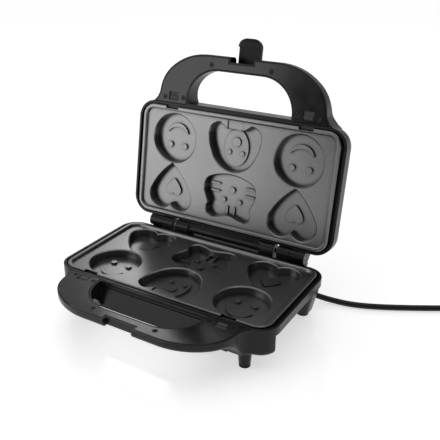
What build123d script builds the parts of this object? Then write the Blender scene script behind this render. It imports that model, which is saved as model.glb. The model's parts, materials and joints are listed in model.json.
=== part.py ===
from build123d import *
from math import acos, asin, cos, degrees, pi, radians, sin, sqrt, tan
import os

# Sandwich maker with hinged lid and interchangeable moulded plates, lid open.
# Millimetres, +Z up, -Y is the front with the handles, origin on the table.

os.makedirs("parts", exist_ok=True)

# Where the two halves stand
rim_height = 48.0  # table to the lower plate's rim
centre_y = -1.0  # the lower plate's centre
rim_gap = 1.0  # between the two rims when the lid is closed
open_angle = 99.4
hinge_back = 6.1  # hinge axis behind the housing's rear wall
hinge_rise = 3.8  # hinge axis above the lower rim

# Plates
plate_long = 236.0
plate_wide = 124.4
plate_corner = 14.0
rim_width = 4.0
rim_deep = 6.0
rim_round = 0.8
pan_deep = 2.8  # rim to the flat between the cavities
pan_draft = 20.0
sheet = 2.0
cavity_deep = 9.0
cavity_draft = 6.0
cavity_wall = 1.8
lip = 1.0  # bevel at a cavity's mouth
relief = 2.0  # raised features on a cavity floor
round_across = 75.6
round_back = -26.9
round_radius = 27.4
heart_across = 75.9
heart_tip = 2.2
heart_lobe = 15.2
heart_lobe_x = 12.5
heart_lobe_y = 40.8
small_heart = 0.35  # of the large heart's size
tab_across = 60.0
tab_wide = 10.0
tab_long = 2.3
tab_thick = 2.0
tab_depth = 3.0  # rim to a tab
cat_cup = (66.8, 54.6, 27.0)  # length, width and place of the boss under the cat
dog_cup = (66.4, 55.2, -27.5)
cup_corner = 14.0
lift_long = 20.0  # shallow finger recess at the front of the pan
lift_wide = 9.5
lift_y = -52.75
lift_deep = 1.2

# Housings
end_gap = 3.4  # plate to housing wall at the ends
long_gap = 1.0  # plate to housing wall along the front and back
end_wall = 2.6
long_wall = 2.8
body_corner = 20.0
wall_top = 1.5  # housing edge below its plate's rim
band_deep = 10.0  # lower edge of the side band
body_deep = 30.0
floor = 2.5
tub_inset = 13.3  # tub side in from the band
tub_wall = 2.5
bumper_long = 14.0
base_round = 5.0
rail_half = 80.0  # rail under the front wall, behind the grip
rail_near = 2.5
rail_thick = 3.0
rail_deep = 36.5
dome_round = 19.0

# Handles
handle_reach = 55.8  # front wall to the handle's front
handle_flat = 42.0
handle_top = 2.0
shell_wall = 1.5  # lip beside the cover
grip_half = 62.0
grip_reach = 40.0
grip_corner = 36.0
cover_thick = 2.4
cover_gap = 0.15
base_notch = 16.0  # half width of the base handle's notch, wider than the clip
notch_deep = 5.3
handle_round = 4.5
rib_tall = 0.8  # ribs along the front wall, inside the lower grip
rib_proud = 1.0
rib_depths = (5.0, 8.0)
under_lip = 9.8  # where the clip catches the lower handle

# Catches
catch_across = 80.0
catch_half = 7.6
ear_half = 8.8
catch_thick = 2.0
catch_top = 2.8
catch_travel = 3.2
tongue_bite = 2.6
window_long = 12.0
window_wide = 9.0
window_reach = 12.3
slide_gap = 0.2
catch_long = 18.0  # housing's front wall to the catch's end
ear_long = 3.0
spring_long = 7.0
spring_wire = 0.5
spring_half = 5.0

# Hinge
pin_radius = 2.0
pin_fit = 0.05
knuckle_radius = 7.0
tower_near = 66.0
tower_far = 80.0
knuckle_far = 97.0
side_play = 0.4
stop_depth = 4.15  # the open lid's arms stop on this
barrel_radius = 5.0
barrel_half = 43.0
duct_radius = 3.0
guard_depth = 3.0  # top of the wall under the barrel

# Latch
latch_half = 13.0
latch_back = 11.8  # pivot behind the handle's front
latch_depth = 11.85
latch_offset = 6.85
latch_thick = 3.5
latch_catch = 22.8
latch_tip = 32.0
latch_barrel = 3.6
latch_pin_radius = 1.5
latch_pin_half = 15.8
latch_clear = 4.4
latch_lip = 2.8
latch_ramp = 3.5  # the lip's sloping end, which lifts the clip over its catch
latch_corner = 9.0
latch_room = 8.0  # behind the notch, under the lip

# Heating
heater_radius = 3.25
heater_depth = 17.6
heater_long = 190.0
heater_wide = 96.0
heater_corner = 20.0
heater_end = 25.0
stud_radius = 1.2
stud_long = 8.0
saddle_long = 10.0
saddle_wide = 7.6
tray_long = 202.0
tray_wide = 105.0
tray_thick = 0.6
tray_depth = 24.2
tray_rim = 16.0
post_across = 80.0
post_y = 36.0

# Controls inside
control_x = 40.0
control_y = 2.0
block_x = 30.0
block_long = 24.0
block_wide = 6.0
block_tall = 10.0

# Indicator lenses
lens_across = 9.0
lens_back = 10.0
lens_radius = 2.6

# Screws
screw_head = 2.5
screw_head_tall = 1.4
screw_radius = 1.45
screw_long = 6.0
recess_reach = 1.5
recess_wide = 0.6
recess_deep = 0.7
pilot_radius = 1.5
sink_radius = 2.7
sink_deep = 1.6

# Feet
peg_across = 96.0
peg_y = -58.0
peg_radius = 7.5
leg_across = 111.0
leg_y = 46.0
leg_thick = 24.0
leg_long = 31.0
leg_corner = 4.0
leg_top_corner = 11.0
rear_pad_across = 106.0
rear_pad_y = 51.0
leg_end_thick = 15.0
leg_end_long = 18.0
pad_tall = 2.5
pad_radius = 5.5
rear_pad_tall = 4.0

# Cord
cord_radius = 3.1
outlet_x = 77.0
outlet_y = 68.6  # behind the lower plate's centre
outlet_depth = 30.2
cord_turn = 20.0
cord_drop = 18.0
gland_long = 22.0
boss_radius = 8.0
boss_long = 28.0
coil_step = 6.8
coil_lift = 6.7
coil_radius = 37.8
cord_rest = 3.3
gland_root = 8.0
gland_root_radius = 4.5
gland_flange = 6.6
gland_flange_thick = 1.8
gland_wide = 10.8
plug_boot = 20.0
plug_long = 36.0
plug_wide = 36.0
plug_tall = 26.0
plug_neck = 12.0  # length over which the boot widens into the body
plug_corner = 12.0
contact_across = 9.5
contact_radius = 2.4
contact_long = 19.0

pocket_long = plate_long + 2 * end_gap
pocket_wide = plate_wide + 2 * long_gap
body_long = pocket_long + 2 * end_wall
body_wide = pocket_wide + 2 * long_wall
front = -body_wide / 2
back = body_wide / 2
handle_front = front - handle_reach
hinge_y = back + hinge_back
cavity_floor = pan_deep + cavity_deep
cover_under = wall_top + cover_thick
lid_hinge_depth = hinge_rise - rim_gap
latch_y = handle_front + latch_back
lid_notch = latch_half + side_play
tab_reach = plate_wide / 2 + tab_long + 0.3
tab_near = tab_across - tab_wide / 2 - 0.3
tab_far = tab_across + tab_wide / 2 + 0.3
catch_under = catch_top + catch_thick + slide_gap
ear_y = front - catch_long + ear_long
spring_y = front - catch_long

# A face's x, y and depth are the plate's length, its width towards the hinge,
# and the way into its housing.
base_face = Plane(origin=(0, centre_y, rim_height), x_dir=(-1, 0, 0), z_dir=(0, 0, -1))
swing = radians(open_angle)
lid_origin = (
    0,
    centre_y + hinge_y - hinge_y * cos(swing) - lid_hinge_depth * sin(swing),
    rim_height + hinge_rise + hinge_y * sin(swing) - lid_hinge_depth * cos(swing),
)
lid_face = Plane(origin=lid_origin, x_dir=(1, 0, 0), z_dir=(0, sin(swing), cos(swing)))


def side_plane(face, across):
    """Plane square to a face's length, with the face's y and depth as its x and y."""
    return Plane(origin=face.origin + face.x_dir * across, x_dir=face.y_dir, z_dir=face.x_dir)


def across(face, x):
    """A place along a face's length for a place along X."""
    return x * face.x_dir.X


def slab(face, outline, start, end, taper=0.0):
    """An outline extruded between two depths of a face."""
    with BuildPart() as made:
        with BuildSketch(face.offset(start)):
            add(outline)
        extrude(amount=end - start, taper=taper)
    return made.part


def bar(face, outline, start, end):
    """A side profile extruded between two places along a face's length."""
    with BuildPart() as made:
        with BuildSketch(side_plane(face, start)):
            add(outline)
        extrude(amount=end - start)
    return made.part


def rounded(length, width, radius, middle=(0, 0)):
    with BuildSketch() as made:
        with Locations(middle):
            RectangleRounded(length, width, radius)
    return made.sketch


def oblong(x0, x1, y0, y1):
    with BuildSketch() as made:
        with Locations(((x0 + x1) / 2, (y0 + y1) / 2)):
            Rectangle(abs(x1 - x0), abs(y1 - y0))
    return made.sketch


def discs(places, radius):
    with BuildSketch() as made:
        with Locations(*places):
            Circle(radius)
    return made.sketch


def grown(outline, amount):
    with BuildSketch() as made:
        add(outline)
        offset(amount=amount, kind=Kind.INTERSECTION)
    return made.sketch


def both_sides(x, y):
    return [(-x, y), (x, y)]


# Plate outlines
def round_outline():
    with BuildSketch() as made:
        Circle(round_radius)
    return made.sketch


def heart_outline():
    rise = degrees(acos(heart_lobe_x / heart_lobe))
    with BuildSketch() as made:
        with BuildLine():
            lobe = CenterArc((heart_lobe_x, heart_lobe_y), heart_lobe, -25, 205 - rise)
            TangentArc(lobe @ 0, (0, heart_tip), tangent=lobe % 0 * -1)
            mirror(about=Plane.YZ)
        make_face()
    return made.sketch


def cat_outline():
    with BuildSketch() as made:
        with BuildLine():
            ThreePointArc((0, 1.5), (16, 3.9), (27, 8.2))
            ThreePointArc((27, 8.2), (31.2, 16), (29.9, 26.5))
            Line((29.9, 26.5), (25.2, 37))
            ThreePointArc((25.2, 37), (27, 46), (20, 52.5))
            Line((20, 52.5), (12, 51))
            ThreePointArc((12, 51), (6, 48.8), (0, 48))
            mirror(about=Plane.YZ)
        make_face()
    return made.sketch


def dog_outline():
    with BuildSketch() as made:
        with BuildLine():
            Line((0, -48.5), (11, -47.5))
            Line((11, -47.5), (19, -53.3))
            ThreePointArc((19, -53.3), (28.5, -49), (31, -38))
            ThreePointArc((31, -38), (29.4, -29), (26, -21))
            ThreePointArc((26, -21), (16, -7.2), (0, -1.7))
            mirror(about=Plane.YZ)
        make_face()
    return made.sketch


def smile_outline():
    with BuildSketch() as made:
        with BuildLine():
            ThreePointArc((-13.3, -5.4), (0, -16.3), (13.3, -5.4))
            ThreePointArc((-13.3, -5.4), (0, -12.2), (13.3, -5.4))
        make_face()
        with Locations(*both_sides(9.6, 9.0)):
            Circle(3.2)
    return made.sketch


def small_heart_outline():
    with BuildSketch() as made:
        add(heart_outline())
        scale(by=small_heart)
    return placed(made.sketch, 0, 19.9)


def cat_face():
    with BuildSketch() as made:
        for y in (15.0, 23.5):
            with Locations(*both_sides(21.2, y)):
                SlotOverall(11.5, 2.0)
        with Locations(*both_sides(4.3, 44.0)):
            SlotOverall(11.0, 2.0, rotation=90)
        with Locations((0, 19.9)):
            Circle(3.2)
        with Locations(*both_sides(9.8, 32.0)):
            Circle(2.7)
    return made.sketch


def dog_face():
    with BuildSketch() as made:
        with Locations((0, -27.5)):
            Ellipse(14.4, 20)
    return made.sketch


def dog_features():
    with BuildSketch() as made:
        with Locations((0, -34)):
            Circle(5)
        with Locations(*both_sides(7.8, -22.3)):
            Circle(2.6)
    return made.sketch


def placed(outline, x, y):
    with BuildSketch() as made:
        with Locations((x, y)):
            add(outline)
    return made.sketch


def cavity(outline, raised, features=None):
    """The space in one cavity, with the raised figure on its floor left out. Z is the plate's depth."""
    with BuildPart() as made:
        with BuildSketch(Plane.XY.offset(pan_deep)):
            add(outline)
        extrude(amount=cavity_deep, taper=cavity_draft)
        with BuildSketch(Plane.XY.offset(pan_deep)):
            add(grown(outline, lip))
        extrude(amount=lip, taper=45)
        with BuildSketch(Plane.XY.offset(pan_deep - 1)):
            add(grown(outline, lip))
        extrude(amount=1)
        with BuildSketch(Plane.XY.offset(cavity_floor - relief)):
            add(raised)
        extrude(amount=2 * relief, mode=Mode.SUBTRACT)
        if features:
            with BuildSketch(Plane.XY.offset(cavity_floor - relief - 1.5)):
                add(features)
            extrude(amount=2 * relief, mode=Mode.SUBTRACT)
    return made.part


def plate_shape():
    """One moulded plate with its rim on XY and Z as its depth."""
    cups = [rounded(length, width, cup_corner, (0, y)) for length, width, y in (cat_cup, dog_cup)]
    hollows = [cavity(cat_outline(), cat_face()), cavity(dog_outline(), dog_face(), dog_features())]
    for side in (-1, 1):
        ring = placed(round_outline(), side * round_across, round_back)
        heart = placed(heart_outline(), side * heart_across, 0)
        cups += [grown(ring, cavity_wall), grown(heart, cavity_wall)]
        hollows.append(cavity(ring, placed(smile_outline(), side * round_across, round_back)))
        hollows.append(cavity(heart, placed(small_heart_outline(), side * heart_across, 0)))
    inner_long = plate_long - 2 * rim_width
    inner_wide = plate_wide - 2 * rim_width
    inner_corner = plate_corner - rim_width
    with BuildPart() as made:
        with BuildSketch():
            RectangleRounded(plate_long, plate_wide, plate_corner)
        extrude(amount=rim_deep)
        with BuildSketch():
            RectangleRounded(inner_long, inner_wide, inner_corner)
        extrude(amount=pan_deep, taper=pan_draft, mode=Mode.SUBTRACT)
        chamfer(made.faces().sort_by(Axis.Z)[0].edges(), rim_round)
        with BuildSketch(Plane.XY.offset(pan_deep + sheet)):
            RectangleRounded(inner_long, inner_wide, inner_corner)
        extrude(amount=rim_deep - pan_deep - sheet, mode=Mode.SUBTRACT)
        for cup in cups:
            with BuildSketch(Plane.XY.offset(pan_deep + sheet / 2)):
                add(cup)
            extrude(amount=cavity_deep + cavity_wall - sheet / 2, taper=cavity_draft)
        for hollow in hollows:
            add(hollow, mode=Mode.SUBTRACT)
        with BuildSketch(Plane.XY.offset(pan_deep)):
            with Locations((0, lift_y)):
                RectangleRounded(lift_long, lift_wide, 2)
        extrude(amount=lift_deep, mode=Mode.SUBTRACT)
        with BuildSketch(Plane.XY.offset(tab_depth)):
            with Locations(*both_sides(tab_across, plate_wide / 2 + tab_long / 2 - 0.5)):
                Rectangle(tab_wide, tab_long + 1)
        extrude(amount=tab_thick)
        with BuildSketch():
            with Locations(*both_sides(catch_across, -plate_wide / 2)):
                Rectangle(2 * catch_half + 0.8, 2 * (tongue_bite + slide_gap))
        extrude(amount=catch_top + catch_thick + 0.1, mode=Mode.SUBTRACT)
    return made.part


# Handles
def handle_plan():
    bumper_y = front + bumper_long / 2
    with BuildSketch() as made:
        with BuildLine():
            edge = Line((0, handle_front), (handle_flat, handle_front))
            corner = JernArc(edge @ 1, edge % 1, 64.6, 42.9)
            turn = JernArc(corner @ 1, corner % 1, 40, 41)
            flare = JernArc(turn @ 1, turn % 1, 19, -58)
            side = Line(flare @ 1, ((flare @ 1).X, bumper_y))
            Line(side @ 1, (0, bumper_y))
            mirror(about=Plane.YZ)
        make_face()
    return made.sketch


def grip_opening():
    near = front - grip_reach
    far = front - shell_wall
    with BuildSketch() as made:
        with BuildLine():
            edge = Line((0, near), (grip_half - grip_corner, near))
            corner = JernArc(edge @ 1, edge % 1, grip_corner, 90)
            Polyline(corner @ 1, (grip_half, far), (0, far))
            mirror(about=Plane.YZ)
        make_face()
    return made.sketch


def handle_ring(inset, rear, notch_half):
    """The handle's plan drawn in from its edge, its opening and its notch, as far back as rear."""
    notch_reach = notch_half + inset
    notch = oblong(-notch_reach, notch_reach, handle_front - 1, handle_front + notch_deep + inset)
    with BuildSketch() as made:
        add(grown(handle_plan(), -inset))
        add(grown(grip_opening(), inset), mode=Mode.SUBTRACT)
        add(notch, mode=Mode.SUBTRACT)
        add(oblong(-body_long, body_long, handle_front - 1, rear), mode=Mode.INTERSECT)
    return made.sketch


def handle_profile(front_depth, bend_depth, end_depth, rise, start=handle_top):
    """The handle seen from the side, as y and depth, its underside bending down to the body."""
    bend = (front - 29, bend_depth)
    end = (front - rise, end_depth)
    with BuildSketch() as made:
        with BuildLine():
            under = Line((handle_front - 5, front_depth), bend)
            TangentArc(bend, end, tangent=under % 1)
            Polyline(end, (front + 8, end_depth), (front + 8, start), (handle_front - 5, start), under @ 0)
        make_face()
    return made.sketch


def handle_block(face, profile, hollow, block_back, notch_half):
    """A handle as a shell, open towards its cover."""
    with BuildPart() as made:
        add(slab(face, handle_plan(), handle_top, body_deep))
        add(bar(face, profile, -body_long / 2, body_long / 2), mode=Mode.INTERSECT)
        under = [edge for edge in made.edges() if outer_edge(face, edge)]
        fillet(under, handle_round)
        add(slab(face, grip_opening(), wall_top, body_deep + 1), mode=Mode.SUBTRACT)
        add(slab(face, handle_ring(shell_wall, front, notch_half), wall_top, cover_under), mode=Mode.SUBTRACT)
        add(handle_hollow(face, hollow, block_back, notch_half), mode=Mode.SUBTRACT)
        notch = oblong(-notch_half, notch_half, handle_front - 1, handle_front + notch_deep)
        add(slab(face, notch, wall_top, body_deep), mode=Mode.SUBTRACT)
    return made.part


def outer_edge(face, edge):
    """Whether an edge is on the handle's underside, along its outline."""
    low = face.to_local_coords(edge @ 0)
    high = face.to_local_coords(edge @ 1)
    middle = face.to_local_coords(edge @ 0.5)
    deep = min(low.Z, high.Z, middle.Z) > handle_top + 2
    crosses = abs(low.Y - high.Y) < 0.01 and middle.Y > handle_front + 1
    upright = abs(low.X - high.X) < 0.01 and abs(low.Y - high.Y) < 0.01
    behind = upright and low.Y > front + bumper_long / 2 - 0.01
    return deep and not crosses and not behind


def handle_hollow(face, hollow, block_back, notch_half):
    """The space inside a handle, around the notch's block, the slides and the screw bosses."""
    inset = 2 * shell_wall
    with BuildPart() as made:
        add(slab(face, handle_ring(inset, front - 2.4, notch_half), cover_under, body_deep))
        add(bar(face, hollow, -body_long / 2, body_long / 2), mode=Mode.INTERSECT)
        block = oblong(-notch_half - inset, notch_half + inset, handle_front - 1, block_back)
        add(slab(face, block, cover_under, body_deep), mode=Mode.SUBTRACT)
        for side in (-1, 1):
            middle = side * catch_across
            half = ear_half + 1.7
            pad = oblong(middle - half, middle + half, spring_y - spring_long - 3, front)
            add(slab(face, pad, cover_under, body_deep), mode=Mode.SUBTRACT)
        bosses = discs(screw_places(), pilot_radius + 1.7)
        add(slab(face, bosses, cover_under, body_deep), mode=Mode.SUBTRACT)
    return made.part


def screw_places():
    return both_sides(35, front - 46) + both_sides(91, front - 6) + both_sides(67.2, front - 7)


def catch_space(face):
    """The slides, the slots to the plate and the screw holes, cut from a housing."""
    with BuildPart() as made:
        for side in (-1, 1):
            x = side * catch_across
            add(slab(face, catch_way(x, front + long_wall + 0.5, 0.05), catch_top - slide_gap, catch_under))
            tab = oblong(side * tab_near, side * tab_far, pocket_wide / 2 - 0.5, tab_reach)
            add(slab(face, tab, tab_depth - slide_gap, tab_depth + tab_thick + slide_gap))
        holes = discs(screw_places(), pilot_radius)
        add(slab(face, holes, cover_under - 0.1, cover_under + screw_long))
    return made.part


def catch_way(x, rear, ahead=0.0):
    """The outline that a catch and its spring need, from the spring's end back to rear."""
    half = catch_half + slide_gap
    ears = ear_half + slide_gap
    with BuildSketch() as made:
        add(oblong(x - ears, x + ears, spring_y - spring_long, ear_y + ahead))
        add(oblong(x - half, x + half, ear_y, rear))
    return made.sketch


def cover(face, notch_half):
    """The flat panel over a handle."""
    inset = shell_wall + cover_gap
    with BuildPart() as made:
        add(slab(face, handle_ring(inset, front - cover_gap, notch_half), wall_top, cover_under))
        top = made.faces().sort_by(Axis(face.origin, face.z_dir))[0]
        chamfer(top.edges(), 0.5)
        for side in (-1, 1):
            x = side * catch_across
            window = rounded(window_long, window_wide, 1, (x, front - window_reach + window_wide / 2))
            add(slab(face, window, wall_top - 1, cover_under), mode=Mode.SUBTRACT)
            add(slab(face, catch_way(x, front), catch_top - slide_gap, cover_under), mode=Mode.SUBTRACT)
        holes = discs(screw_places(), pilot_radius + 0.1)
        sinks = discs(screw_places(), sink_radius)
        add(slab(face, holes, wall_top, cover_under), mode=Mode.SUBTRACT)
        add(slab(face, sinks, wall_top, wall_top + sink_deep), mode=Mode.SUBTRACT)
    return made.part


def screws(face, places, head_depth, length):
    """Pan-head screws driven along a face's depth, with a cross recess."""
    shank_depth = head_depth + screw_head_tall
    with BuildSketch() as cross:
        with Locations(*places):
            Rectangle(2 * recess_reach, recess_wide)
            Rectangle(recess_wide, 2 * recess_reach)
    with BuildPart() as made:
        add(slab(face, discs(places, screw_head), head_depth, shank_depth))
        add(slab(face, discs(places, screw_radius), shank_depth, shank_depth + length))
        add(slab(face, cross.sketch, head_depth, head_depth + recess_deep), mode=Mode.SUBTRACT)
    return made.part


def catch(face, x):
    """A sliding catch whose tongue holds a plate's front rim."""
    with BuildPart() as made:
        body = oblong(x - catch_half, x + catch_half, spring_y, -plate_wide / 2 + tongue_bite)
        ears = oblong(x - ear_half, x + ear_half, spring_y, ear_y)
        add(slab(face, body, catch_top, catch_top + catch_thick))
        add(slab(face, ears, catch_top, catch_top + catch_thick))
        along = made.edges().filter_by(Axis(face.origin, face.x_dir))
        tip = along.sort_by(Axis(face.origin, face.y_dir))[-2:]
        chamfer(tip.sort_by(Axis(face.origin, face.z_dir))[0], 0.8)
        ridge = rounded(10, 4, 1, (x, front - window_reach + window_wide - 2.6))
        add(slab(face, ridge, wall_top + 0.3, catch_top + 0.5))
    return made.part


def catch_spring(face, x):
    """A flat spring folded behind a catch."""
    step = (spring_long - spring_wire) / 4
    points = []
    for row in range(5):
        y = spring_y - spring_wire / 2 - row * step
        ends = [(x - spring_half, y), (x + spring_half, y)]
        points += ends if row % 2 == 0 else ends[::-1]
    with BuildPart() as made:
        with BuildSketch(face.offset(catch_top + 0.1)):
            with BuildLine():
                FilletPolyline(*points, radius=step / 2 - 0.02)
            trace(line_width=spring_wire)
        extrude(amount=catch_thick - 0.2)
    return made.part


# Heating
def heater(face):
    """A tubular element bent once round the plate, open at the back."""
    x = heater_long / 2
    y = heater_wide / 2
    points = [(heater_end, y), (x, y), (x, -y), (-x, -y), (-x, y), (-heater_end, y)]
    with BuildPart() as made:
        with BuildLine(face.offset(heater_depth)) as path:
            FilletPolyline(*points, radius=heater_corner)
        with BuildSketch(Plane(path.line @ 0, z_dir=path.line % 0)):
            Circle(heater_radius)
        sweep()
        for side in (-1, 1):
            end = face.from_local_coords(Vector(side * heater_end, y, heater_depth))
            with BuildSketch(Plane(end, z_dir=face.x_dir * -side)):
                Circle(stud_radius)
            extrude(amount=stud_long)
    return made.part


def saddle_places():
    return [(-heater_long / 2, 0), (heater_long / 2, 0), (-40, -heater_wide / 2), (40, -heater_wide / 2)]


def saddles(face, element):
    """Ceramic saddles that carry the element over its tray."""
    with BuildPart() as made:
        for x, y in saddle_places():
            length = saddle_wide if y else saddle_long
            add(slab(face, rounded(length, saddle_wide, 1, (x, y)), heater_depth, tray_depth))
        add(element, mode=Mode.SUBTRACT)
    return made.part


def tray(face):
    """The reflector under an element."""
    thick = tray_thick
    with BuildPart() as made:
        add(slab(face, rounded(tray_long, tray_wide, 14), tray_rim, tray_depth + thick))
        inner = rounded(tray_long - 2 * thick, tray_wide - 2 * thick, 14 - thick)
        add(slab(face, inner, tray_rim, tray_depth), mode=Mode.SUBTRACT)
        holes = discs(post_places(), screw_radius + 0.1)
        add(slab(face, holes, tray_depth, tray_depth + thick), mode=Mode.SUBTRACT)
    return made.part


def post_places():
    return both_sides(post_across, post_y) + both_sides(post_across, -post_y)


def posts(face, depth):
    """Bosses that carry a tray, down to the housing's inner face."""
    return slab(face, discs(post_places(), 4), tray_depth + tray_thick, depth)


def post_holes(face):
    holes = discs(post_places(), pilot_radius)
    return slab(face, holes, tray_depth + tray_thick - 0.1, tray_depth + screw_long - 1)


# Hinge
def knuckle(face, outline, hinge_depth, near, far, radius=knuckle_radius):
    """The same hinge piece on both ends of a housing, round the hinge axis."""
    with BuildPart() as made:
        for start, end in ((near, far), (-far, -near)):
            add(bar(face, outline, start, end))
            add(bar(face, placed(disc(radius), hinge_y, hinge_depth), start, end))
    return made.part


def disc(radius):
    with BuildSketch() as made:
        Circle(radius)
    return made.sketch


def outline_of(*points):
    with BuildSketch() as made:
        with BuildLine():
            Polyline(*points, close=True)
        make_face()
    return made.sketch


def hinge_bore(face, hinge_depth, radius, near, far):
    with BuildPart() as made:
        for start, end in ((near, far), (-far, -near)):
            add(bar(face, placed(disc(radius), hinge_y, hinge_depth), start, end))
    return made.part


# Latch, drawn in its lid's face with y and depth measured from the pivot
def latch_outline():
    inner = latch_offset
    outer = latch_offset + latch_thick
    heel = latch_clear - 0.15
    with BuildSketch() as made:
        with BuildLine():
            top = Line((-heel + 3, outer), (latch_catch, outer))
            cap = TangentArc((latch_catch, outer), (latch_tip, inner - 1), tangent=(1, 0))
            Polyline(cap @ 1, (latch_tip - latch_ramp, inner - latch_lip), (latch_catch, inner - latch_lip))
            Polyline(
                (latch_catch, inner - latch_lip), (latch_catch, inner), (latch_barrel, inner), (latch_barrel, 0), (-heel, 0)
            )
            Line((-heel, 0), (-heel, outer - 3))
            RadiusArc((-heel, outer - 3), (-heel + 3, outer), 3)
        make_face()
        Circle(latch_barrel)
    return made.sketch


def latch_shape():
    """The clip, flipped out from the lid. A step forward in its outline is a step down in the face's y."""
    side = side_plane(lid_face, latch_half)
    pivot = side.from_local_coords(Vector(latch_y, latch_depth, 0))
    profile = Plane(origin=pivot, x_dir=-lid_face.y_dir, z_dir=-lid_face.x_dir)
    with BuildPart() as made:
        with BuildSketch(profile):
            add(latch_outline())
            Circle(latch_pin_radius + pin_fit, mode=Mode.SUBTRACT)
        extrude(amount=2 * latch_half)
        plan = rounded(2 * latch_half, 2 * latch_tip, latch_corner, (0, latch_y))
        add(slab(lid_face, plan, 0, body_deep), mode=Mode.INTERSECT)
    return made.part


def latch_pocket():
    """The space round the clip's pivot, cut from the lid's handle."""
    y = latch_y
    clear = latch_clear
    with BuildSketch() as room:
        add(placed(disc(clear), y, latch_depth))
        add(oblong(handle_front - 2, y + clear, latch_depth, latch_depth + 12))
        add(oblong(handle_front - 2, y, latch_depth - clear, latch_depth + 12))
    return bar(lid_face, room.sketch, -lid_notch, lid_notch)


# Lower plate
lower_plate_shape = plate_shape()
with BuildPart() as lower_plate:
    add(lower_plate_shape.moved(base_face.location))
lower_plate.part.label = "lower_plate"
export_step(lower_plate.part, "parts/lower_plate.step")

with BuildPart() as upper_plate:
    add(lower_plate_shape.moved(lid_face.location))
upper_plate.part.label = "upper_plate"
export_step(upper_plate.part, "parts/upper_plate.step")


# Heating, the same in both halves
lower_element = heater(base_face)
lower_saddles = saddles(base_face, lower_element)
lower_tray = tray(base_face)
upper_element = heater(lid_face)
upper_saddles = saddles(lid_face, upper_element)
upper_tray = tray(lid_face)

with BuildPart() as lower_heater:
    add(lower_element)
lower_heater.part.label = "lower_heater"
export_step(lower_heater.part, "parts/lower_heater.step")

with BuildPart() as upper_heater:
    add(upper_element)
upper_heater.part.label = "upper_heater"
export_step(upper_heater.part, "parts/upper_heater.step")

with BuildPart() as lower_heater_saddles:
    add(lower_saddles)
lower_heater_saddles.part.label = "lower_heater_saddles"
export_step(lower_heater_saddles.part, "parts/lower_heater_saddles.step")

with BuildPart() as upper_heater_saddles:
    add(upper_saddles)
upper_heater_saddles.part.label = "upper_heater_saddles"
export_step(upper_heater_saddles.part, "parts/upper_heater_saddles.step")

with BuildPart() as lower_reflector:
    add(lower_tray)
lower_reflector.part.label = "lower_reflector"
export_step(lower_reflector.part, "parts/lower_reflector.step")

with BuildPart() as upper_reflector:
    add(upper_tray)
upper_reflector.part.label = "upper_reflector"
export_step(upper_reflector.part, "parts/upper_reflector.step")


# Screws
tray_head = tray_depth - screw_head_tall
cover_head = wall_top + sink_deep - screw_head_tall
base_reflector_screw_shape = screws(base_face, post_places(), tray_head, screw_long - 1.5)
lid_reflector_screw_shape = screws(lid_face, post_places(), tray_head, screw_long - 1.5)
base_cover_screw_shape = screws(base_face, screw_places(), cover_head, screw_long)
lid_cover_screw_shape = screws(lid_face, screw_places(), cover_head, screw_long)

with BuildPart() as base_reflector_screws:
    add(base_reflector_screw_shape)
base_reflector_screws.part.label = "base_reflector_screws"
export_step(base_reflector_screws.part, "parts/base_reflector_screws.step")

with BuildPart() as lid_reflector_screws:
    add(lid_reflector_screw_shape)
lid_reflector_screws.part.label = "lid_reflector_screws"
export_step(lid_reflector_screws.part, "parts/lid_reflector_screws.step")

with BuildPart() as base_cover_screws:
    add(base_cover_screw_shape)
base_cover_screws.part.label = "base_cover_screws"
export_step(base_cover_screws.part, "parts/base_cover_screws.step")

with BuildPart() as lid_cover_screws:
    add(lid_cover_screw_shape)
lid_cover_screws.part.label = "lid_cover_screws"
export_step(lid_cover_screws.part, "parts/lid_cover_screws.step")


# Handle covers
base_cover_shape = cover(base_face, base_notch)
lid_cover_shape = cover(lid_face, lid_notch)

with BuildPart() as base_handle_cover:
    add(base_cover_shape)
base_handle_cover.part.label = "base_handle_cover"
export_step(base_handle_cover.part, "parts/base_handle_cover.step")

with BuildPart() as lid_handle_cover:
    add(lid_cover_shape)
lid_handle_cover.part.label = "lid_handle_cover"
export_step(lid_handle_cover.part, "parts/lid_handle_cover.step")


# Catches and their springs
for half, face in (("base", base_face), ("lid", lid_face)):
    for hand, x in (("left", -catch_across), ("right", catch_across)):
        slide_shape = catch(face, across(face, x))
        fold_shape = catch_spring(face, across(face, x))
        with BuildPart() as slide:
            add(slide_shape)
        slide.part.label = f"{half}_catch_{hand}"
        export_step(slide.part, f"parts/{half}_catch_{hand}.step")
        with BuildPart() as fold:
            add(fold_shape)
        fold.part.label = f"{half}_catch_spring_{hand}"
        export_step(fold.part, f"parts/{half}_catch_spring_{hand}.step")


# Cord outlet
turn = radians(cord_turn)
drop = radians(cord_drop)
cord_way = Vector(cos(turn) * cos(drop), sin(turn) * cos(drop), -sin(drop))
outlet = Plane(origin=(outlet_x, centre_y + outlet_y, rim_height - outlet_depth), z_dir=cord_way)

with BuildPart() as outlet_boss:
    with BuildSketch(outlet.offset(-boss_long)):
        Circle(boss_radius)
    extrude(amount=boss_long)
    chamfer(outlet_boss.faces().sort_by(Axis(outlet.origin, cord_way))[-1].edges(), 1.5)


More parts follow.
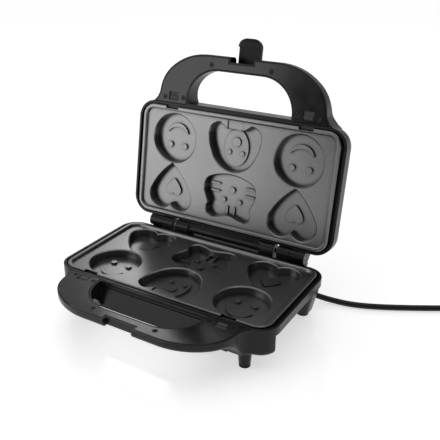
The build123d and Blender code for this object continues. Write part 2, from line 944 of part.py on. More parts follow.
# Base housing
tub_half = body_long / 2 - tub_inset
tub_back = hinge_y - hinge_back - 4
cavity_y = (tub_back - tub_wall + front + 6) / 2
tower_back = hinge_y + knuckle_radius
tower_root = back - 0.9
web_root = tub_back - 0.5
web_under = ((tower_back, 5), (web_root, 19), (web_root, 7), (tower_root, 7))
web = ((tower_back, -hinge_rise), *web_under, (tower_root, -hinge_rise))
rest = ((tower_back, stop_depth), *web_under, (tower_root, stop_depth))
base_handle_shape = handle_block(
    base_face,
    handle_profile(10.5, 11.5, body_deep, 4),
    handle_profile(8.0, 9.0, 20, 4),
    handle_front + 8,
    base_notch,
)
base_towers = knuckle(base_face, outline_of(*web), -hinge_rise, tower_near, tower_far)
base_eyes = knuckle(base_face, outline_of(*web), -hinge_rise, barrel_half + 2, tower_near - 4)
base_stops = [
    bar(base_face, outline_of(*rest), start, end)
    for start, end in ((tower_far, knuckle_far), (-knuckle_far, -tower_far))
]
guard = outline_of((tower_back, guard_depth), *web_under, (tower_root, guard_depth))
base_guard = bar(base_face, guard, -barrel_half - 2, barrel_half + 2)
rail = oblong(-rail_half, rail_half, front + rail_near, front + rail_near + rail_thick)
base_rail = slab(base_face, rail, body_deep - 8, rail_deep)
grip_rear = front - shell_wall
rib = oblong(-grip_half, grip_half, grip_rear - rib_proud, grip_rear + 0.2)
base_ribs = [slab(base_face, rib, depth, depth + rib_tall) for depth in rib_depths]
base_spaces = catch_space(base_face)
base_bores = hinge_bore(base_face, -hinge_rise, pin_radius, tower_near - 1, tower_far + 1)
base_ducts = hinge_bore(base_face, -hinge_rise, duct_radius, barrel_half, tower_near - 3)
base_posts = posts(base_face, body_deep - floor / 2)
base_post_holes = post_holes(base_face)
peg_places = [Location((x, y, 0), (0, 0, 90)) for x, y in both_sides(peg_across, peg_y)]
cavity_long = 2 * (tub_half - tub_wall)
cavity_wide = tub_back - tub_wall - front - 6

with BuildPart() as base_housing:
    with BuildSketch(base_face.offset(wall_top)):
        RectangleRounded(body_long, body_wide, body_corner)
    extrude(amount=band_deep - wall_top)
    with BuildSketch(base_face.offset(band_deep)):
        RectangleRounded(body_long, body_wide, body_corner)
        add(oblong(-body_long, body_long, front - 1, front + bumper_long), mode=Mode.INTERSECT)
        with Locations((0, (tub_back + front) / 2)):
            RectangleRounded(2 * tub_half, tub_back - front, 16)
    extrude(amount=body_deep - band_deep)
    fillet(base_housing.faces().sort_by(Axis.Z)[0].edges(), base_round)
    add(base_rail)
    for side in (-1, 1):
        with BuildSketch(base_face.offset(band_deep - 2)):
            with Locations((side * leg_across, leg_y)):
                RectangleRounded(leg_thick, leg_long, leg_top_corner)
        with BuildSketch(base_face.offset(rim_height - rear_pad_tall)):
            with Locations((side * rear_pad_across, rear_pad_y)):
                RectangleRounded(leg_end_thick, leg_end_long, leg_corner)
        loft()
    with BuildSketch(base_face.offset(body_deep - 9)):
        with Locations(*peg_places):
            Circle(peg_radius)
    extrude(amount=rim_height - pad_tall - body_deep + 9, taper=4.5)
    add(outlet_boss.part)
    add(base_handle_shape)
    add(base_ribs)
    add(base_guard)
    add(base_towers)
    add(base_eyes)
    add(base_stops)
    with BuildSketch(base_face.offset(wall_top - 10)):
        RectangleRounded(pocket_long, pocket_wide, body_corner - end_wall)
    extrude(amount=rim_deep - wall_top + 10, mode=Mode.SUBTRACT)
    with BuildSketch(base_face.offset(rim_deep)):
        with Locations((0, cavity_y)):
            RectangleRounded(cavity_long, cavity_wide, 12)
    extrude(amount=body_deep - floor - rim_deep, mode=Mode.SUBTRACT)
    add(base_posts)
    with BuildSketch(base_face.offset(body_deep - floor - 1)):
        with GridLocations(100, 8, 2, 5):
            SlotOverall(28, 3)
    extrude(amount=floor + 2, mode=Mode.SUBTRACT)
    add(base_post_holes, mode=Mode.SUBTRACT)
    add(base_spaces, mode=Mode.SUBTRACT)
    add(base_bores, mode=Mode.SUBTRACT)
    add(base_ducts, mode=Mode.SUBTRACT)
    with BuildSketch(outlet.offset(-34)):
        Circle(cord_radius + 0.4)
    extrude(amount=40, mode=Mode.SUBTRACT)
    with BuildSketch(outlet.offset(-gland_root)):
        Circle(gland_root_radius)
    extrude(amount=gland_root + 1, mode=Mode.SUBTRACT)
    with BuildSketch(base_face.offset(under_lip)):
        lip_half = base_notch + 0.5
        add(oblong(-lip_half, lip_half, handle_front - 1, handle_front + notch_deep + latch_room))
    extrude(amount=4, mode=Mode.SUBTRACT)
base_housing.part.label = "base_housing"
export_step(base_housing.part, "parts/base_housing.step")


# Lid housing
arm_root = back - 3.5
arm_under = ((tower_back, 8), (arm_root, 21), (arm_root, 6), (tower_root, 6))
arm = ((tower_back, lid_hinge_depth), *arm_under, (tower_root, lid_hinge_depth))
barrel_web = oblong(tower_root, hinge_y, lid_hinge_depth - 4, lid_hinge_depth + 4)
lid_handle_shape = handle_block(
    lid_face,
    handle_profile(14.5, 17.0, 26, 2),
    handle_profile(12.0, 14.5, 20, 4),
    latch_y + latch_clear + 2.9,
    lid_notch,
)
lid_arms = knuckle(lid_face, outline_of(*arm), lid_hinge_depth, tower_far + side_play, knuckle_far)
lid_barrel = bar(lid_face, placed(disc(barrel_radius), hinge_y, lid_hinge_depth), -barrel_half, barrel_half)
lid_barrel_web = bar(lid_face, barrel_web, -barrel_half, barrel_half)
lid_duct = bar(lid_face, placed(disc(duct_radius), hinge_y, lid_hinge_depth), -barrel_half, barrel_half)
lid_clearance = hinge_bore(
    lid_face, lid_hinge_depth, knuckle_radius + 0.6, barrel_half + 1.6, tower_far + side_play / 2
)
lid_spaces = catch_space(lid_face)
lid_bores = hinge_bore(lid_face, lid_hinge_depth, pin_radius + pin_fit, tower_far, knuckle_far + 1)
lid_posts = posts(lid_face, body_deep - floor / 2)
lid_post_holes = post_holes(lid_face)
lid_pocket = latch_pocket()
latch_pin_disc = placed(disc(latch_pin_radius), latch_y, latch_depth)
pin_hole = bar(lid_face, latch_pin_disc, -latch_pin_half, latch_pin_half)
dome_axis = Axis(lid_face.origin, lid_face.z_dir)
lens_tilt = asin(lens_back / dome_round)
lens_spots = []
lens_y = front + dome_round - dome_round * sin(lens_tilt)
lens_depth = body_deep - dome_round + dome_round * cos(lens_tilt)
for x in (-lens_across, lens_across):
    lens_spots.append(lid_face.from_local_coords(Vector(x, lens_y, lens_depth)))
lens_way = lid_face.z_dir * cos(lens_tilt) - lid_face.y_dir * sin(lens_tilt)

with BuildPart() as lid_room:
    with BuildSketch(lid_face.offset(band_deep)):
        RectangleRounded(pocket_long, pocket_wide, body_corner - end_wall)
    extrude(amount=body_deep - long_wall - band_deep)
    fillet(lid_room.faces().sort_by(dome_axis)[-1].edges(), dome_round - long_wall - 0.5)

with BuildPart() as lid_housing:
    with BuildSketch(lid_face.offset(wall_top)):
        RectangleRounded(body_long, body_wide, body_corner)
    extrude(amount=body_deep - wall_top)
    fillet(lid_housing.faces().sort_by(dome_axis)[-1].edges(), dome_round)
    add(lid_handle_shape)
    add(lid_arms)
    add(lid_clearance, mode=Mode.SUBTRACT)
    add(lid_barrel)
    add(lid_barrel_web)
    add(lid_duct, mode=Mode.SUBTRACT)
    with BuildSketch(lid_face.offset(wall_top - 10)):
        RectangleRounded(pocket_long, pocket_wide, body_corner - end_wall)
    extrude(amount=rim_deep - wall_top + 10, mode=Mode.SUBTRACT)
    with BuildSketch(lid_face.offset(rim_deep - 0.1)):
        with Locations((0, cavity_y)):
            RectangleRounded(cavity_long, cavity_wide, 12)
    extrude(amount=band_deep - rim_deep + 0.2, mode=Mode.SUBTRACT)
    add(lid_room.part, mode=Mode.SUBTRACT)
    add(lid_posts)
    add(lid_post_holes, mode=Mode.SUBTRACT)
    add(lid_spaces, mode=Mode.SUBTRACT)
    add(lid_bores, mode=Mode.SUBTRACT)
    add(lid_pocket, mode=Mode.SUBTRACT)
    add(pin_hole, mode=Mode.SUBTRACT)
    for spot in lens_spots:
        with BuildSketch(Plane(spot, z_dir=lens_way)):
            Circle(lens_radius + 0.05)
        extrude(amount=4.5, both=True, mode=Mode.SUBTRACT)
lid_housing.part.label = "lid_housing"
export_step(lid_housing.part, "parts/lid_housing.step")

with BuildPart() as indicator_lenses:
    for spot in lens_spots:
        with BuildSketch(Plane(spot, z_dir=lens_way).offset(-3.8)):
            Circle(lens_radius)
        extrude(amount=4.6)
indicator_lenses.part.label = "indicator_lenses"
export_step(indicator_lenses.part, "parts/indicator_lenses.step")


# Hinge pins
with BuildPart() as hinge_pins:
    for start in (tower_near + 0.5, -knuckle_far + 0.5):
        with BuildSketch(side_plane(base_face, start)):
            with Locations((hinge_y, -hinge_rise)):
                Circle(pin_radius)
        extrude(amount=knuckle_far - tower_near - 1)
hinge_pins.part.label = "hinge_pins"
export_step(hinge_pins.part, "parts/hinge_pins.step")


# Latch
clip_shape = latch_shape()
with BuildPart() as latch:
    add(clip_shape)
latch.part.label = "latch"
export_step(latch.part, "parts/latch.step")

with BuildPart() as latch_pin:
    with BuildSketch(side_plane(lid_face, -latch_pin_half)):
        with Locations((latch_y, latch_depth)):
            Circle(latch_pin_radius)
    extrude(amount=2 * latch_pin_half)
latch_pin.part.label = "latch_pin"
export_step(latch_pin.part, "parts/latch_pin.step")


# Controls inside
thermostat_shape = slab(lid_face, placed(disc(6), control_x, control_y), tray_depth - 9.6, tray_depth)
with BuildPart() as thermostat:
    add(thermostat_shape)
    with BuildSketch(lid_face.offset(tray_depth - 1)):
        with Locations((control_x, control_y)):
            SlotOverall(24, 7)
    extrude(amount=1)
thermostat.part.label = "thermostat"
export_step(thermostat.part, "parts/thermostat.step")

fuse_rod = bar(base_face, placed(disc(2), control_y, tray_depth - 2.8), control_x - 6, control_x + 6)
with BuildPart() as thermal_fuse:
    with BuildSketch(base_face.offset(tray_depth - 1)):
        with Locations((control_x, control_y)):
            Rectangle(8, 14)
    extrude(amount=1)
    add(fuse_rod)
thermal_fuse.part.label = "thermal_fuse"
export_step(thermal_fuse.part, "parts/thermal_fuse.step")

block_place = (across(base_face, block_x), tub_back - tub_wall - block_wide / 2 - 0.4)
with BuildPart() as terminal_block:
    with BuildSketch(base_face.offset(body_deep - floor - block_tall)):
        with Locations(block_place):
            Rectangle(block_long, block_wide)
    extrude(amount=block_tall)
    with BuildSketch(base_face.offset(body_deep - floor - block_tall)):
        with Locations(block_place):
            with GridLocations(block_long / 3, 1, 3, 1):
                Circle(1.5)
    extrude(amount=block_tall / 2, mode=Mode.SUBTRACT)
terminal_block.part.label = "terminal_block"
export_step(terminal_block.part, "parts/terminal_block.step")


# Feet
with BuildPart() as rubber_feet:
    with BuildSketch(base_face.offset(rim_height - pad_tall)):
        with Locations(*both_sides(peg_across, peg_y)):
            Circle(pad_radius)
    extrude(amount=pad_tall)
    with BuildSketch(base_face.offset(rim_height - rear_pad_tall)):
        with Locations(*both_sides(rear_pad_across, rear_pad_y)):
            Circle(pad_radius + 0.5)
    extrude(amount=rear_pad_tall)
rubber_feet.part.label = "rubber_feet"
export_step(rubber_feet.part, "parts/rubber_feet.step")


# Cord gland, with its profile along the cord's way
gland_plane = Plane(origin=outlet.origin, x_dir=cord_way, z_dir=cord_way.cross(Vector(0, 0, 1)))
gland_steps = [(-gland_root, 0), (-gland_root, gland_root_radius), (0, gland_root_radius)]
gland_steps += [(0, gland_flange), (gland_flange_thick, gland_flange)]
for ring in range(5):
    at = gland_flange_thick + 0.8 + ring * 3.6
    slope = gland_wide / 2 - at * 0.075
    gland_steps += [(at - 0.2, slope - 0.8), (at, slope)]
    gland_steps += [(at + 2.2, slope - 0.17), (at + 2.4, slope - 0.97)]
gland_steps += [(gland_long - 0.6, cord_radius + 0.6), (gland_long, cord_radius + 0.4), (gland_long, 0)]
with BuildPart() as cord_gland:
    with BuildSketch(gland_plane):
        with BuildLine():
            Polyline(*gland_steps, close=True)
        make_face()
    revolve(axis=Axis(outlet.origin, cord_way))
cord_gland.part.label = "cord_gland"
export_step(cord_gland.part, "parts/cord_gland.step")


def cord_radii(points):
    """The radius of each corner of a cord's route, as large as its two runs allow."""
    radii = []
    for before, corner, after in zip(points, points[1:], points[2:]):
        run_in = corner - before
        run_out = after - corner
        half_turn = radians(run_in.get_angle(run_out)) / 2
        radii.append(0.45 * min(run_in.length, run_out.length) / tan(half_turn))
    return radii


def cord_tube(points):
    """A tube of straight runs joined by tangent arcs."""
    radii = cord_radii(points)
    print("cord radii", [round(radius) for radius in radii])
    with BuildPart() as made:
        with BuildLine() as path:
            FilletPolyline(*points, radius=radii)
        with BuildSketch(Plane(path.line @ 0, z_dir=path.line % 0)):
            Circle(cord_radius)
        sweep()
    length = path.wire().length
    share = made.part.volume / (pi * cord_radius**2 * length)
    print("cord length", round(length, 1), "volume share", round(share, 4))
    return made.part


# The free cord's route from the gland to its coil
cord_start = outlet.origin + cord_way * gland_long
coil_start = Vector(256, 147.3, cord_rest)
free_points = [
    cord_start,
    cord_start + cord_way * 15.5,
    Vector(128, 84.6, cord_rest),
    Vector(146, 87.0, cord_rest),
    Vector(168, 95.6, cord_rest),
    Vector(196, 110.4, cord_rest),
    Vector(227, 128.8, cord_rest),
    coil_start,
]
free_shape = cord_tube(free_points)
with BuildPart() as cord_free:
    add(free_shape)
cord_free.part.label = "cord_free"
export_step(cord_free.part, "parts/cord_free.step")


# The coil winds in for three half turns, climbs a layer in the fourth and winds out above
coil_way = (coil_start - free_points[-2]).normalized()
coil_side = coil_way.cross(Vector(0, 0, 1))
half_turns = [(coil_radius - coil_step / 2 * turn, 0.0) for turn in range(3)]
half_turns.append((coil_radius - coil_step * 1.5, coil_lift))
half_turns += [(radius, 0.0) for radius, climb in half_turns[2:0:-1]]
with BuildPart() as cord_coil:
    with BuildLine() as coil_path:
        straight = Line(coil_start, coil_start + coil_way * 2 * cord_radius)
        at = straight @ 1
        way = coil_way
        side = coil_side
        for radius, climb in half_turns:
            reach = sqrt(radius**2 + climb**2 / 4)
            middle = at + way * reach + side * radius + Vector(0, 0, climb / 2)
            end = at + side * 2 * radius + Vector(0, 0, climb)
            first = TangentArc(at, middle, tangent=way)
            TangentArc(middle, end, tangent=first % 1)
            at = end
            way = way * -1
            side = side * -1
        last = Line(at, at + way * 2 * cord_radius)
    with BuildSketch(Plane(coil_start, z_dir=coil_way)):
        Circle(cord_radius)
    sweep()
cord_coil.part.label = "cord_coil"
export_step(cord_coil.part, "parts/cord_coil.step")

coil_line = coil_path.edges()
samples = []
passed = 0.0
for edge in coil_line:
    for share in range(24):
        samples.append((passed + edge.length * share / 24, edge @ (share / 24)))
    passed += edge.length
least = min(
    (one - other).length
    for s, one in samples[::2]
    for t, other in samples[::2]
    if t - s > 20 * cord_radius
)
print("coil length", round(passed, 1), "least gap", round(least - 2 * cord_radius, 2))

# The tail over the coil to the plug
tail_start = last @ 1
plug_z = Vector(0, 0, plug_tall / 2 + 0.2)
tail_flat = Vector(tail_start.X, tail_start.Y, 0)
tail_points = [
    tail_start,
    tail_start + way * 11.5,
    tail_start + way * 24 + coil_side * 1.0 + Vector(0, 0, 1.6),
    tail_flat + way * 38 + coil_side * 3.4 + plug_z,
    tail_flat + way * 51 + coil_side * 6.6 + plug_z,
]
tail_shape = cord_tube(tail_points)
with BuildPart() as cord_tail:
    add(tail_shape)
cord_tail.part.label = "cord_tail"
export_step(cord_tail.part, "parts/cord_tail.step")


# Mains plug, a flat contour body with a boot and two pins
plug_way = (tail_points[-1] - tail_points[-2]).normalized()
plug_plane = Plane(origin=tail_points[-1], x_dir=plug_way.cross(Vector(0, 0, 1)), z_dir=plug_way)
with BuildPart() as mains_plug:
    with BuildSketch(plug_plane):
        Circle(cord_radius + 0.8)
    with BuildSketch(plug_plane.offset(plug_boot)):
        Circle(6)
    loft()
    with BuildSketch(plug_plane.offset(plug_boot)):
        RectangleRounded(15, 13, 6)
    with BuildSketch(plug_plane.offset(plug_boot + plug_neck)):
        RectangleRounded(plug_wide, plug_tall, plug_corner)
    loft()
    with BuildSketch(plug_plane.offset(plug_boot + plug_neck)):
        RectangleRounded(plug_wide, plug_tall, plug_corner)
    extrude(amount=plug_long - plug_neck)
mains_plug.part.label = "mains_plug"
export_step(mains_plug.part, "parts/mains_plug.step")

with BuildPart() as plug_pins:
    with BuildSketch(plug_plane.offset(plug_boot + plug_long)):
        with Locations(*both_sides(contact_across, 0)):
            Circle(contact_radius)
    extrude(amount=contact_long)
    chamfer(plug_pins.faces().sort_by(Axis(plug_plane.origin, plug_way))[-2:].edges(), 0.8)
plug_pins.part.label = "plug_pins"
export_step(plug_pins.part, "parts/plug_pins.step")
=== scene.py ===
import json
import math

import bpy
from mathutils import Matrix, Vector


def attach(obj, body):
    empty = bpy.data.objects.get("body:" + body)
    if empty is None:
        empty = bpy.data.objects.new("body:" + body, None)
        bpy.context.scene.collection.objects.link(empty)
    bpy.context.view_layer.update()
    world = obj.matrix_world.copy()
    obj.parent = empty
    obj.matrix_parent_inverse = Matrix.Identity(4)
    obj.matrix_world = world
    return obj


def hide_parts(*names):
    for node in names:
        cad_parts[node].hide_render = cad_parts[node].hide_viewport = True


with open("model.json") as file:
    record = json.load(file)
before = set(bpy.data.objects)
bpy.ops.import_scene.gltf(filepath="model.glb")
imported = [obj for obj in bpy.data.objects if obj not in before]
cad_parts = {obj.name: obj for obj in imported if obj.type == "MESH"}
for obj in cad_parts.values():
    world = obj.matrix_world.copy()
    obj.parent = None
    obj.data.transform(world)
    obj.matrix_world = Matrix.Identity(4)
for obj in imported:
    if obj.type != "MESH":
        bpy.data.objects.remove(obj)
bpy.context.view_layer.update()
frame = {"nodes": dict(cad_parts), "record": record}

nodes = frame["nodes"]
scene = bpy.context.scene
scene.view_settings.view_transform = "Standard"

# Camera at the photograph's viewing angle
IMAGE = 440  # pixels along each side
FOCAL = 658.607  # pixels
CENTRE = (196.272, 214.052)  # where the lens axis meets the image, in pixels
SENSOR = 36.0  # millimetres
AZIMUTH, ELEVATION, ROLL = (math.radians(a) for a in (32.0524, 24.0581, -0.228))
CAMERA_PLACE = (0.32223, -0.50296, 0.37346)

camera = bpy.data.objects.new("camera", bpy.data.cameras.new("camera"))
scene.collection.objects.link(camera)
scene.camera = camera
camera.data.sensor_width = SENSOR
camera.data.lens = FOCAL / IMAGE * SENSOR
camera.data.shift_x = (IMAGE / 2 - CENTRE[0]) / IMAGE
camera.data.shift_y = (CENTRE[1] - IMAGE / 2) / IMAGE
camera.data.clip_start, camera.data.clip_end = 0.01, 20
back = Vector((
    math.sin(AZIMUTH) * math.cos(ELEVATION),
    -math.cos(AZIMUTH) * math.cos(ELEVATION),
    math.sin(ELEVATION),
))
right = Vector((math.cos(AZIMUTH), math.sin(AZIMUTH), 0))
up = back.cross(right)
across = right * math.cos(ROLL) + up * math.sin(ROLL)
over = up * math.cos(ROLL) - right * math.sin(ROLL)
for column, axis in enumerate((across, over, back)):
    for row in range(3):
        camera.matrix_world[row][column] = axis[row]
camera.matrix_world.translation = CAMERA_PLACE

# The mains cord
CORD = 0.0062  # thickness
CORD_HEIGHT = 0.0033  # of its middle, where it lies on the floor
PLUG_HEIGHT = 0.0132  # of its middle, at the plug
OUTLET = Vector((0.077, 0.0676, 0.0178))  # where the gland leaves the housing
OUTLET_TURN, OUTLET_DROP = math.radians(20), math.radians(18)
GLAND = 0.022  # the gland's length
COIL_RADIUS = 0.0378  # of the outermost half turn
COIL_PITCH = 0.0034  # between the radii of neighbouring half turns
COIL_CLIMB = 0.0067  # where the cord steps up to its second layer
PER_HALF = 8  # points of each half turn
STEP = math.pi / PER_HALF


def on_floor(x, y):
    return Vector((x, y, CORD_HEIGHT))


def half_turn(at, way, side, radius, climb):
    """The points of half a circle that leaves a place in direction way and bends toward side."""
    centre = at + side * radius
    wide = radius / math.cos(STEP / 2)
    points = []
    for k in range(PER_HALF):
        angle = STEP * (k + 0.5)
        lift = Vector((0, 0, climb * (k + 0.5) / PER_HALF))
        points.append(centre - side * wide * math.cos(angle) + way * wide * math.sin(angle) + lift)
    return points


leaves = Vector((
    math.cos(OUTLET_TURN) * math.cos(OUTLET_DROP),
    math.sin(OUTLET_TURN) * math.cos(OUTLET_DROP),
    -math.sin(OUTLET_DROP),
))
start = OUTLET + leaves * GLAND
before_coil = on_floor(0.227, 0.1288)
coil_start = on_floor(0.256, 0.1473)
route = [
    start,
    start + leaves * 0.0155,
    on_floor(0.128, 0.0846),
    on_floor(0.146, 0.0870),
    on_floor(0.168, 0.0956),
    on_floor(0.196, 0.1104),
    before_coil,
    coil_start,
]
way = (coil_start - before_coil).normalized()
side = way.cross(Vector((0, 0, 1)))
coil_side = side
at = coil_start + way * CORD
for inward in (0, 1, 2, 3, 2, 1):
    radius = COIL_RADIUS - COIL_PITCH * inward
    climb = COIL_CLIMB if inward == 3 else 0
    route += half_turn(at, way, side, radius, climb)
    at = at + side * 2 * radius + Vector((0, 0, climb))
    way, side = -way, -side
tail = at + way * CORD
raised = Vector((tail.x, tail.y, PLUG_HEIGHT))
route += [
    tail,
    tail + way * 0.0115,
    tail + way * 0.024 + coil_side * 0.001 + Vector((0, 0, 0.0016)),
    raised + way * 0.038 + coil_side * 0.0034,
    raised + way * 0.051 + coil_side * 0.0066,
]
line = bpy.data.curves.new("mains_cord", "CURVE")
line.dimensions = "3D"
spline = line.splines.new("NURBS")
spline.points.add(len(route) - 1)
for point, place in zip(spline.points, route):
    point.co = (*place, 1)
    point.radius = CORD / 2
spline.order_u = 3
spline.use_endpoint_u = True
spline.resolution_u = 6
line.bevel_depth = 1.0  # times each point's radius
line.bevel_resolution = 5
line.use_fill_caps = True
cord = bpy.data.objects.new("mains_cord", line)
scene.collection.objects.link(cord)
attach(cord, "base")
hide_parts("cord_free", "cord_coil", "cord_tail")


# Materials
class Graph:
    """A material's nodes, added by short calls."""

    def __init__(self, name):
        self.material = bpy.data.materials.new(name)
        self.material.use_nodes = True
        self.tree = self.material.node_tree
        self.shader = self.tree.nodes["Principled BSDF"]
        self.place = self.add("ShaderNodeTexCoord").outputs["Object"]

    def add(self, kind, **values):
        node = self.tree.nodes.new(kind)
        for key, value in values.items():
            if key in node.inputs:
                node.inputs[key].default_value = value
            else:
                setattr(node, key, value)
        return node

    def link(self, source, target):
        self.tree.links.new(source, target)

    def noise(self, scale, detail=3.0, stretch=None):
        """Noise with about scale features to the metre."""
        place = self.place
        if stretch:
            turned = self.add("ShaderNodeMapping")
            turned.inputs["Scale"].default_value = stretch
            self.link(place, turned.inputs["Vector"])
            place = turned.outputs["Vector"]
        made = self.add("ShaderNodeTexNoise", Scale=scale, Detail=detail)
        self.link(place, made.inputs["Vector"])
        return made.outputs["Fac"]

    def spread(self, source, low, high, start=0.3, end=0.7):
        """A source's range between start and end, mapped to low and high."""
        made = self.add("ShaderNodeMapRange")
        limits = (("From Min", start), ("From Max", end), ("To Min", low), ("To Max", high))
        for key, value in limits:
            made.inputs[key].default_value = value
        self.link(source, made.inputs["Value"])
        return made.outputs["Result"]

    def tint(self, source, dark, light, start=0.3, end=0.7):
        made = self.add("ShaderNodeValToRGB")
        ramp = made.color_ramp
        ramp.elements[0].position, ramp.elements[1].position = start, end
        ramp.elements[0].color, ramp.elements[1].color = (*dark, 1), (*light, 1)
        self.link(source, made.inputs["Fac"])
        self.link(made.outputs["Color"], self.shader.inputs["Base Color"])

    def rough(self, source, low, high):
        self.link(self.spread(source, low, high), self.shader.inputs["Roughness"])

    def bump(self, layers, edge=0.0):
        """Height layers as (source, depth in metres), over edges rounded by the edge radius."""
        normal = None
        if edge:
            normal = self.add("ShaderNodeBevel", samples=4, Radius=edge).outputs["Normal"]
        for source, depth in layers:
            made = self.add("ShaderNodeBump", Strength=1.0, Distance=depth)
            self.link(source, made.inputs["Height"])
            if normal:
                self.link(normal, made.inputs["Normal"])
            normal = made.outputs["Normal"]
        self.link(normal, self.shader.inputs["Normal"])

    def paint_corner_shade(self, distance, power):
        """Paints shade into the base colour: ambient occlusion darkens it in corners and narrow
        gaps.
        """
        colour = self.shader.inputs["Base Color"].links[0].from_socket
        ao_shade = self.add("ShaderNodeAmbientOcclusion", samples=8, Distance=distance)
        depth = self.add("ShaderNodeMath", operation="POWER")
        depth.inputs[1].default_value = power
        self.link(ao_shade.outputs["AO"], depth.inputs[0])
        shaded_colour = self.add("ShaderNodeMix", data_type="RGBA", blend_type="MULTIPLY")
        shaded_colour.inputs["Factor"].default_value = 1.0
        self.link(colour, shaded_colour.inputs[6])
        self.link(depth.outputs[0], shaded_colour.inputs[7])
        self.link(shaded_colour.outputs[2], self.shader.inputs["Base Color"])

    def set(self, **values):
        for key, value in values.items():
            self.shader.inputs[key.replace("_", " ")].default_value = value


def grey(level, blue=0.0):
    """A grey whose blue differs by a little."""
    return (level, level, level + blue)


# Bump depths and edge radii, in metres
FINE_GRAIN = 0.00001
MOULDED_WAVE = 0.00004
CAST_GRAIN, CAST_WAVE = 0.000012, 0.00003
STREAK = 0.000008
MOULDED_EDGE, TURNED_EDGE = 0.0005, 0.0002


def plastic(
    name, dark, light, rough, grain=2600.0, depth=FINE_GRAIN, edge=MOULDED_EDGE, shine=0.3
):
    """Moulded plastic or rubber with a fine grain over a slight waviness."""
    g = Graph(name)
    g.set(Specular_IOR_Level=shine)
    cloud = g.noise(18.0)
    fine = g.noise(grain, detail=2.0)
    g.tint(cloud, dark, light)
    g.rough(g.noise(55.0, detail=4.0), *rough)
    g.bump([(fine, depth), (g.noise(35.0), MOULDED_WAVE)], edge)
    return g.material


def metal(name, dark, light, rough, stretch=None, edge=0.0):
    """Bare metal with fine streaks, which a stretch draws out along one axis."""
    g = Graph(name)
    streaks = g.noise(300.0, detail=4.0, stretch=stretch)
    g.tint(streaks, dark, light)
    g.rough(streaks, *rough)
    g.set(Metallic=1.0)
    g.bump([(streaks, STREAK)], edge)
    return g.material


def coated_plate():
    """Cast metal under a dark satin non-stick coating with fine specks."""
    g = Graph("non_stick")
    speck = g.noise(5200.0, detail=1.0)
    cloud = g.noise(14.0)
    g.tint(speck, grey(0.18, 0.002), grey(0.27, 0.003), 0.35, 0.75)
    g.rough(cloud, 0.27, 0.33)
    g.set(Metallic=0.92)
    # Painted shade: ambient occlusion darkens the coating's colour in corners, along cavity edges
    # and in narrow gaps.
    g.paint_corner_shade(0.004, 1.25)
    g.bump([(g.noise(1500.0, detail=2.0), CAST_GRAIN), (g.noise(60.0), CAST_WAVE)], MOULDED_EDGE)
    return g.material


def ceramic():
    g = Graph("ceramic")
    g.tint(g.noise(200.0, detail=5.0), (0.72, 0.70, 0.64), (0.82, 0.80, 0.75))
    g.rough(g.noise(90.0), 0.35, 0.55)
    g.bump([(g.noise(900.0), FINE_GRAIN)])
    return g.material


def lens():
    g = Graph("red_lens")
    g.tint(g.noise(400.0), (0.35, 0.01, 0.008), (0.5, 0.02, 0.012))
    g.rough(g.noise(500.0), 0.08, 0.16)
    g.set(Transmission_Weight=0.6, IOR=1.5)
    g.bump([(g.noise(700.0), FINE_GRAIN)])
    return g.material


looks = {
    "body": plastic(
        "satin_black", grey(0.005, 0.0005), grey(0.009, 0.0005), (0.26, 0.36), shine=0.27
    ),
    "cover": plastic(
        "panel_black", grey(0.004, 0.0005), grey(0.007, 0.0005), (0.13, 0.20),
        depth=0.000003, shine=0.48,
    ),
    "plate": coated_plate(),
    "latch": plastic(
        "latch_grey", grey(0.006, 0.0005), grey(0.009, 0.0005), (0.34, 0.46), shine=0.2
    ),
    "catch": plastic("catch_grey", grey(0.060, 0.001), grey(0.080, 0.001), (0.42, 0.55)),
    "screw": metal("dark_screw", grey(0.02), grey(0.05), (0.35, 0.55), edge=TURNED_EDGE),
    "pin": metal("drawn_steel", grey(0.50), grey(0.62, -0.01), (0.22, 0.36), (0.05, 1, 1)),
    "contact": metal(
        "plated_brass", (0.62, 0.60, 0.56), (0.74, 0.72, 0.67), (0.16, 0.28), edge=TURNED_EDGE
    ),
    "spring": metal("spring_strip", grey(0.48), grey(0.6, -0.01), (0.2, 0.34)),
    "reflector": metal("aluminised", grey(0.60), grey(0.74, -0.01), (0.25, 0.42)),
    "element": metal("heated_sheath", (0.16, 0.14, 0.13), (0.32, 0.29, 0.27), (0.4, 0.6)),
    "ceramic": ceramic(),
    "lens": lens(),
    "foot": plastic(
        "rubber", grey(0.008), grey(0.013), (0.62, 0.8), grain=1200.0, depth=0.00003, edge=0.0003
    ),
    "cord": plastic(
        "cord_sheath", grey(0.008), grey(0.014), (0.34, 0.48), grain=1500.0, edge=0.0
    ),
    "plug": plastic("plug_black", grey(0.008), grey(0.013), (0.4, 0.55)),
}
for part in frame["record"]["subparts"]:
    mesh = nodes[part["node"]].data
    mesh.materials.clear()
    mesh.materials.append(looks[part["material_slot"]])
line.materials.append(looks["cord"])


# Floor, backdrop and lights
def softbox(name, place, wide, tall, radiance, target=(0, 0, 0.1)):
    """A rectangular lamp facing its target, as bright as a white surface times radiance."""
    data = bpy.data.lights.new(name, "AREA")
    data.shape = "RECTANGLE"
    data.size, data.size_y = wide, tall
    data.energy = radiance * math.pi * wide * tall
    lamp = bpy.data.objects.new(name, data)
    scene.collection.objects.link(lamp)
    lamp.location = place
    lamp.rotation_mode = "QUATERNION"
    lamp.rotation_quaternion = (Vector(target) - Vector(place)).to_track_quat("-Z", "Y")


def math_node(tree, operation, first, second):
    made = tree.nodes.new("ShaderNodeMath")
    made.operation = operation
    for socket, value in zip(made.inputs, (first, second)):
        if isinstance(value, (int, float)):
            socket.default_value = value
        else:
            tree.links.new(value, socket)
    return made.outputs[0]


def seen_by_rays(tree):
    """1 for camera, glossy and transmission rays, else 0."""
    path = tree.nodes.new("ShaderNodeLightPath").outputs
    total = math_node(tree, "MAXIMUM", path["Is Camera Ray"], path["Is Glossy Ray"])
    return math_node(tree, "MAXIMUM", total, path["Is Transmission Ray"])


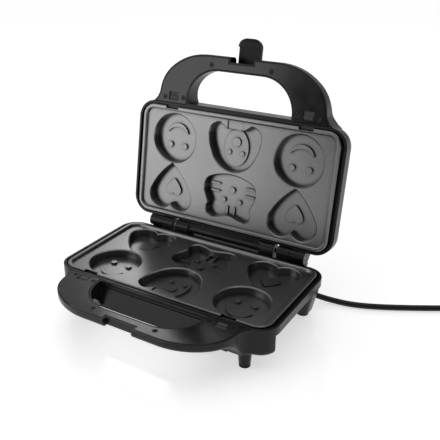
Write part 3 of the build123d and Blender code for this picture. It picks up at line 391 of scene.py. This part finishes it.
FLOOR_HALF = 6.0
FLOOR_GLOW = 0.60  # share of the floor's white that the object's shadow doesn't darken
FRONT_GLOW = 0.84  # of that share, far in front of the object
FADE_FROM, FADE_TO = -1.3, -0.35  # along Y, where the glow grows to its whole share

floor_mesh = bpy.data.meshes.new("floor")
corners = [(-1, -1), (1, -1), (1, 1), (-1, 1)]
floor_mesh.from_pydata(
    [(FLOOR_HALF * x, FLOOR_HALF * y, 0) for x, y in corners], [], [(0, 1, 2, 3)]
)
floor = bpy.data.objects.new("floor", floor_mesh)
scene.collection.objects.link(floor)
paper = Graph("white_acrylic")
paper.tint(paper.noise(0.7), grey(0.86, 0.002), grey(0.88, 0.002))
paper.rough(paper.noise(2.0), 0.07, 0.09)
paper.set(Emission_Color=(1, 1, 1, 1))
ahead = paper.add("ShaderNodeSeparateXYZ")
paper.link(paper.place, ahead.inputs[0])
near = paper.spread(ahead.outputs["Y"], FRONT_GLOW, 1.0, FADE_FROM, FADE_TO)
full_glow = math_node(paper.tree, "MULTIPLY", near, FLOOR_GLOW)
glow = math_node(paper.tree, "MULTIPLY", full_glow, seen_by_rays(paper.tree))
paper.link(glow, paper.shader.inputs["Emission Strength"])
floor_mesh.materials.append(paper.material)

# A studio that is bright behind and to the left, and dim to the front right
BRIGHT_SIDE = (-0.62, 0.76, 0.18)
DIM, BRIGHT = 0.10, 0.55
LIT_SHARE = 0.6  # of the studio's strength, for the rays that only carry light

world = bpy.data.worlds.new("studio")
scene.world = world
world.use_nodes = True
tree = world.node_tree
sky = tree.nodes["Background"]
direction = tree.nodes.new("ShaderNodeTexCoord").outputs["Generated"]
toward = tree.nodes.new("ShaderNodeVectorMath")
toward.operation = "DOT_PRODUCT"
toward.inputs[1].default_value = BRIGHT_SIDE
tree.links.new(direction, toward.inputs[0])
shade = tree.nodes.new("ShaderNodeMapRange")
shade.interpolation_type = "SMOOTHSTEP"
for key, value in (("From Min", -0.5), ("From Max", 0.95), ("To Min", DIM), ("To Max", BRIGHT)):
    shade.inputs[key].default_value = value
tree.links.new(toward.outputs["Value"], shade.inputs["Value"])
from_camera = tree.nodes.new("ShaderNodeLightPath").outputs["Is Camera Ray"]
light = math_node(tree, "MAXIMUM", shade.outputs["Result"], from_camera)
strength = tree.nodes.new("ShaderNodeMapRange")
strength.inputs["To Min"].default_value = LIT_SHARE
strength.inputs["To Max"].default_value = 1.0
tree.links.new(seen_by_rays(tree), strength.inputs["Value"])
sky.inputs["Color"].default_value = (1, 1, 1, 1)
whole = math_node(tree, "MULTIPLY", light, strength.outputs["Result"])
tree.links.new(whole, sky.inputs["Strength"])

softbox("overhead", (0.1, 0.0, 1.9), 2.6, 2.6, 0.75)
softbox("left_front", (-0.90, -0.92, 0.42), 0.95, 0.9, 1.9, target=(-0.05, 0.05, 0.15))
softbox("left_back", (-1.06, 1.41, 1.14), 0.42, 0.6, 2.6)

bpy.context.view_layer.update()
